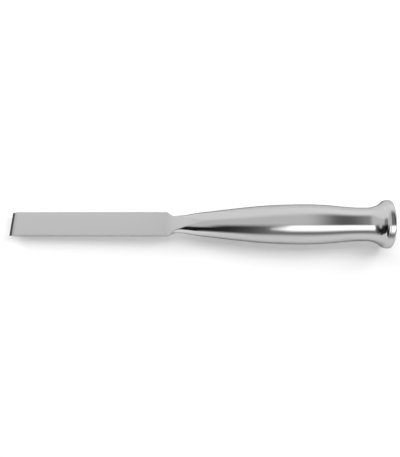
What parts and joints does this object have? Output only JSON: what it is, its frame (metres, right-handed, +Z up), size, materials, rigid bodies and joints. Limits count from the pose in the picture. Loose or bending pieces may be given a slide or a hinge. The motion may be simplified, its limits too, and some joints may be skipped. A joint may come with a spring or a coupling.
{
  "type": "osteotome",
  "caption": "Straight bone osteotome: flat blade with a double-bevelled cutting edge, swelling round handle and a flared striking head.",
  "frame": {"origin": "middle of the lowest points of the tool's box, as the tool lies on a table", "axes": "+X along the tool from the cutting edge towards the striking head, +Y across the blade, +Z up from the table; the tool rests on the belly of its handle and on its collar, so its own axis climbs 2.4 degrees towards the head"},
  "size_m": [0.201, 0.0252, 0.0252],
  "materials": {
    "polished_steel": "bright polished stainless steel, with a finer ground blade and bevels"
  },
  "bodies": {
    "root": {"osteotome": "polished_steel"}
  },
  "joints": []
}
